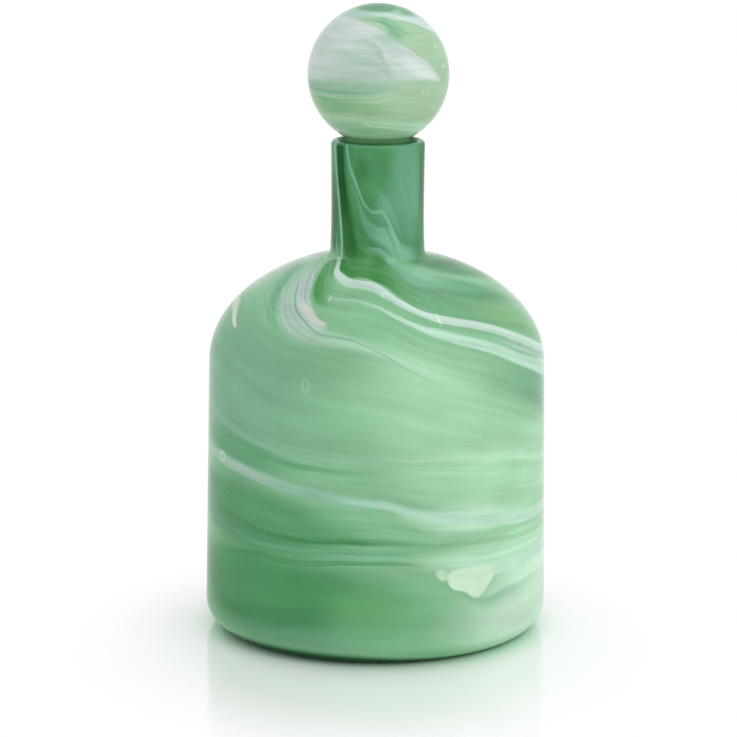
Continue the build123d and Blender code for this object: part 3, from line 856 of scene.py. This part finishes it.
# Fine lines that the glass was drawn out in, lighter and darker along the flow
def drawOut(tree, place, colour, around, flow, drawn):
    angle = sums(tree, "RADIANS", around)
    ahead = sums(tree, "MULTIPLY", sums(tree, "COSINE", angle), drawn["along"])
    aside = sums(tree, "MULTIPLY", sums(tree, "SINE", angle), drawn["along"])
    value = 1.0
    for count, reach in drawn["lines"]:
        spot = addNode(tree, "CombineXYZ", (sums(tree, "MULTIPLY", flow, count), ahead, aside))
        value = sway(tree, cloud(tree, spot.outputs[0], 1.0).outputs[0], reach, value)
    scale, detail, reach = drawn["mottle"]
    value = sway(tree, cloud(tree, place, scale, detail).outputs[0], reach, value)
    shift = addNode(tree, "HueSaturation")
    plug(tree, value, shift.inputs["Value"])
    plug(tree, colour, shift.inputs["Color"])
    return shift.outputs[0]


# Patches, trails and specks, laid over each other
def layGlass(tree, place, around, level, piece):
    colour = layPatches(tree, tint(piece["baseGlass"]), around, level, piece["patches"])
    drift = wander(tree, place, 0.0, *piece["drift"], 1)
    colour = layTrails(tree, colour, around, level, drift, piece["trails"])
    return laySeedsAndPaintedLight(tree, colour, around, level, piece["seedsAndPaintedLight"])


# Blown glass is glossy, and ground glass is frosted
def finishGlass(tree, shader, colour, frosted, piece):
    tree.links.new(colour, shader.inputs["Base Color"])
    roughness = ease(tree, frosted, 0.0, 1.0, piece["roughness"], piece["frostedRoughness"], "LINEAR")
    plug(tree, roughness, shader.inputs["Roughness"])
    shader.inputs["Specular IOR Level"].default_value = piece["specular"]


def makeBottleGlass():
    material, tree, shader = newMaterial("marbledBottleGlass")
    place, around, radius, height = placeOnGlass(tree)
    # under the foot and on the inner floor the level goes on down towards the axis
    outward = ease(tree, height, *bottle["heelTurn"], -1.0, 1.0, "LINEAR")
    inset = sums(tree, "SUBTRACT", bottle["heelRadius"], radius)
    level = sums(tree, "MULTIPLY_ADD", inset, outward, sums(tree, "SUBTRACT", height, bottle["heelRadius"]))
    level = wander(tree, place, level, *bottle["levelSway"], 0)
    colour = layGlass(tree, place, around, level, bottle)
    # the seat in the neck is ground, so it is frosted and paler
    within = ease(tree, radius, *bottle["seatWithin"], 1.0, 0.0, "LINEAR")
    above = ease(tree, height, *bottle["seatAbove"], 0.0, 1.0, "LINEAR")
    seat = sums(tree, "MULTIPLY", within, above)
    colour = blendColour(tree, seat, colour, tint(bottle["frostedGlass"]))
    flow = flowLevel(tree, around, level, bottle["guides"])
    colour = drawOut(tree, place, colour, around, flow, bottle["drawn"])
    finishGlass(tree, shader, colour, seat, bottle)
    return material


def makeStopperGlass():
    material, tree, shader = newMaterial("marbledStopperGlass")
    place, around, radius, height = placeOnGlass(tree)
    rise = sums(tree, "SUBTRACT", height, stopper["ballCentre"])
    level = sums(tree, "DEGREES", sums(tree, "ARCTAN2", rise, radius))
    colour = layGlass(tree, place, around, level, stopper)
    # the plug is ground on the outside, so it is frosted and paler too
    below = ease(tree, height, *stopper["plugBelow"], 1.0, 0.0, "LINEAR")
    beyond = ease(tree, radius, *stopper["plugBeyond"], 0.0, 1.0, "LINEAR")
    plugMask = sums(tree, "MULTIPLY", below, beyond)
    colour = blendColour(tree, plugMask, colour, tint(stopper["frostedGlass"]))
    flow = wander(tree, place, sums(tree, "DIVIDE", level, stopper["flowStep"]), *stopper["flowSway"], 2)
    colour = drawOut(tree, place, colour, around, flow, stopper["drawn"])
    finishGlass(tree, shader, colour, plugMask, stopper)
    return material


bottleGlass.data.materials.append(makeBottleGlass())
ballStopper.data.materials.append(makeStopperGlass())
print("glass coloured")

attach(bottleGlass, "bottle")
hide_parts("bottle")
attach(ballStopper, "stopper")
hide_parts("stopper")


# Studio: a pale gloss floor, a white room and soft light
studio = {
    "floorSize": 24.0,
    "floorColour": (0.96, 0.975, 0.965, 1.0),
    "floorNear": (0.6, 0.86, 0.68, 1.0),     # green light comes through the glass close to it
    "nearRadii": (0.078, 0.103),
    "floorRoughness": 0.1,
    "floorSpecular": 0.9,
    "glowRadii": (0.09, 0.2),                # shadow and gloss within the first, white from the second
    "glowStretch": (1.15, 1.0, 0.0),         # the kept spot is narrower than deep
    "glowShift": (0.0, 0.05, 0.0),           # and lies towards the front
    "worldLevel": 0.93,
    "keyPower": 16.0,
    "keySize": 1.6,
    "keyPlace": (1.5, -1.6, 1.9),
    "keyAimHeight": 0.13,
}


def makeFloor():
    bpy.ops.object.select_all(action="DESELECT")
    bpy.ops.mesh.primitive_plane_add(size=studio["floorSize"], location=(0, 0, 0))
    floor = bpy.context.object
    floor.name = floor.data.name = "studioFloor"
    material, tree, shader = newMaterial("paleGlossFloor")
    shader.inputs["Roughness"].default_value = studio["floorRoughness"]
    shader.inputs["Specular IOR Level"].default_value = studio["floorSpecular"]
    rays = addNode(tree, "LightPath")
    white = addNode(tree, "Emission")
    mixed = addNode(tree, "MixShader")
    place = addNode(tree, "TexCoord").outputs["Object"]
    near = ease(tree, lengthOf(tree, place), *studio["nearRadii"], 1.0, 0.0)
    floorColour = blendColour(tree, near, studio["floorColour"], studio["floorNear"])
    tree.links.new(floorColour, shader.inputs["Base Color"])
    spotValues = (place, studio["glowStretch"], studio["glowShift"])
    spot = addNode(tree, "VectorMath", spotValues, operation="MULTIPLY_ADD")
    away = ease(tree, lengthOf(tree, spot.outputs[0]), *studio["glowRadii"])
    plug(tree, sums(tree, "MULTIPLY", rays.outputs["Is Camera Ray"], away), mixed.inputs[0])
    tree.links.new(shader.outputs[0], mixed.inputs[1])
    tree.links.new(white.outputs[0], mixed.inputs[2])
    tree.links.new(mixed.outputs[0], tree.nodes["Material Output"].inputs["Surface"])
    floor.data.materials.append(material)


def makeRoom():
    world = bpy.data.worlds.new("whiteRoom")
    bpy.context.scene.world = world
    world.use_nodes = True
    tree = world.node_tree
    background = tree.nodes["Background"]
    background.inputs["Color"].default_value = (1, 1, 1, 1)
    rays = addNode(tree, "LightPath")
    seen = sums(tree, "MAXIMUM", rays.outputs["Is Camera Ray"], rays.outputs["Is Glossy Ray"])
    seen = sums(tree, "MAXIMUM", seen, rays.outputs["Is Transmission Ray"])
    strength = ease(tree, seen, 0.0, 1.0, studio["worldLevel"], 1.0, "LINEAR")
    tree.links.new(strength, background.inputs["Strength"])


def makeKey():
    bpy.ops.object.light_add(type="AREA", location=studio["keyPlace"])
    key = bpy.context.object
    key.name = "softKey"
    key.data.shape = "SQUARE"
    key.data.size = studio["keySize"]
    key.data.energy = studio["keyPower"]
    x, y, z = studio["keyPlace"]
    key.rotation_euler = (math.atan2(math.hypot(x, y), z - studio["keyAimHeight"]), 0, math.atan2(x, -y))
    key.visible_glossy = False


makeFloor()
makeRoom()
makeKey()
bpy.context.scene.view_settings.view_transform = "Standard"
print("studio lit")
